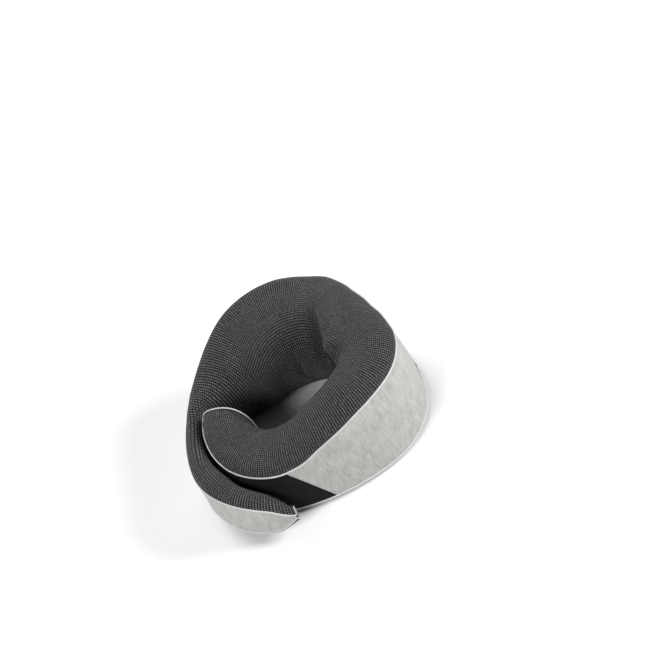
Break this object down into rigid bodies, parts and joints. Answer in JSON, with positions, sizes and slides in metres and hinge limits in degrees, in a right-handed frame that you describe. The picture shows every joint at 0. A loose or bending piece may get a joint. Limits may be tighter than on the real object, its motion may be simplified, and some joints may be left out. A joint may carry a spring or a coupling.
{
  "type": "wrap-around neck pillow",
  "caption": "Wrap-around foam neck pillow in a dark ribbed knit with a pale piped outer band, closed into a ring by a hook-and-loop end, with a zipped cover.",
  "frame": {"origin": "centre of the plan outline, on the flat underside the pillow rests on", "axes": "+Z out of the top, +Y out through the middle of the back, +X toward the arm that is tucked inside"},
  "size_m": [0.2514, 0.2795, 0.138],
  "materials": {
    "foam": "open-cell memory foam, matt",
    "liner": "fine stockinette, matt",
    "knit": "ribbed bird's-eye knit, matt",
    "band": "heathered knit, matt",
    "piping": "woven cord cover, slight sheen",
    "loop": "brushed loop pile, dead matt",
    "hook": "moulded hook tape, satin",
    "tape": "woven tape, matt",
    "coil": "nylon coil, satin",
    "zip_metal": "satin lacquer"
  },
  "bodies": {
    "back": {"foam_back": "foam", "inner_liner_back": "liner", "knit_panel_back": "knit", "outer_band_back": "band", "piping_top_back": "piping", "piping_bottom_back": "piping", "zip_tape_lower": "tape", "zip_tape_upper": "tape", "zip_coil": "coil", "zip_stop_closed": "zip_metal", "zip_stop_open": "zip_metal"},
    "arm_a": {"foam_arm_a": "foam", "inner_liner_arm_a": "liner", "knit_panel_arm_a": "knit", "outer_band_arm_a": "band", "piping_arm_a": "piping", "end_cap_arm_a": "loop", "loop_patch": "loop"},
    "arm_b": {"foam_arm_b": "foam", "inner_liner_arm_b": "liner", "knit_panel_arm_b": "knit", "outer_band_arm_b": "band", "piping_top_arm_b": "piping", "piping_bottom_arm_b": "piping"},
    "end_b": {"foam_end_b": "foam", "inner_liner_end_b": "liner", "knit_panel_end_b": "knit", "outer_band_end_b": "band", "piping_end_b": "piping", "end_cap_end_b": "knit", "hook_patch": "hook"},
    "zip_slider": {"zip_slider": "zip_metal"},
    "zip_pull": {"zip_pull": "zip_metal"}
  },
  "joints": [
    {"name": "arm_b_bend", "type": "hinge", "parent": "back", "child": "arm_b", "pos_m": [-0.09932, 0.0912, 0], "axis": [0, 0, -1], "range_deg": [0, 40], "stiffness_Nm_per_rad": 0.6},
    {"name": "end_b_peel", "type": "hinge", "parent": "arm_b", "child": "end_b", "pos_m": [-0.09451, -0.08552, 0], "axis": [0, 0, -1], "range_deg": [0, 35], "stiffness_Nm_per_rad": 0.15},
    {"name": "arm_a_bend", "type": "hinge", "parent": "back", "child": "arm_a", "pos_m": [0.10372, 0.0912, 0], "axis": [0, 0, 1], "range_deg": [0, 16], "stiffness_Nm_per_rad": 0.6},
    {"name": "zip_travel", "type": "hinge", "parent": "back", "child": "zip_slider", "pos_m": [0.0022, 0.0139, 0.017], "axis": [0, 0, -1], "range_deg": [0, 62]},
    {"name": "zip_pull_swing", "type": "hinge", "parent": "zip_slider", "child": "zip_pull", "pos_m": [-0.06594, 0.12555, 0.017], "axis": [0, 0, 1], "range_deg": [0, 170]}
  ],
  "couplings": [
    {"joint": "arm_a_bend", "follows": "arm_b_bend", "ratio": 0.4}
  ]
}
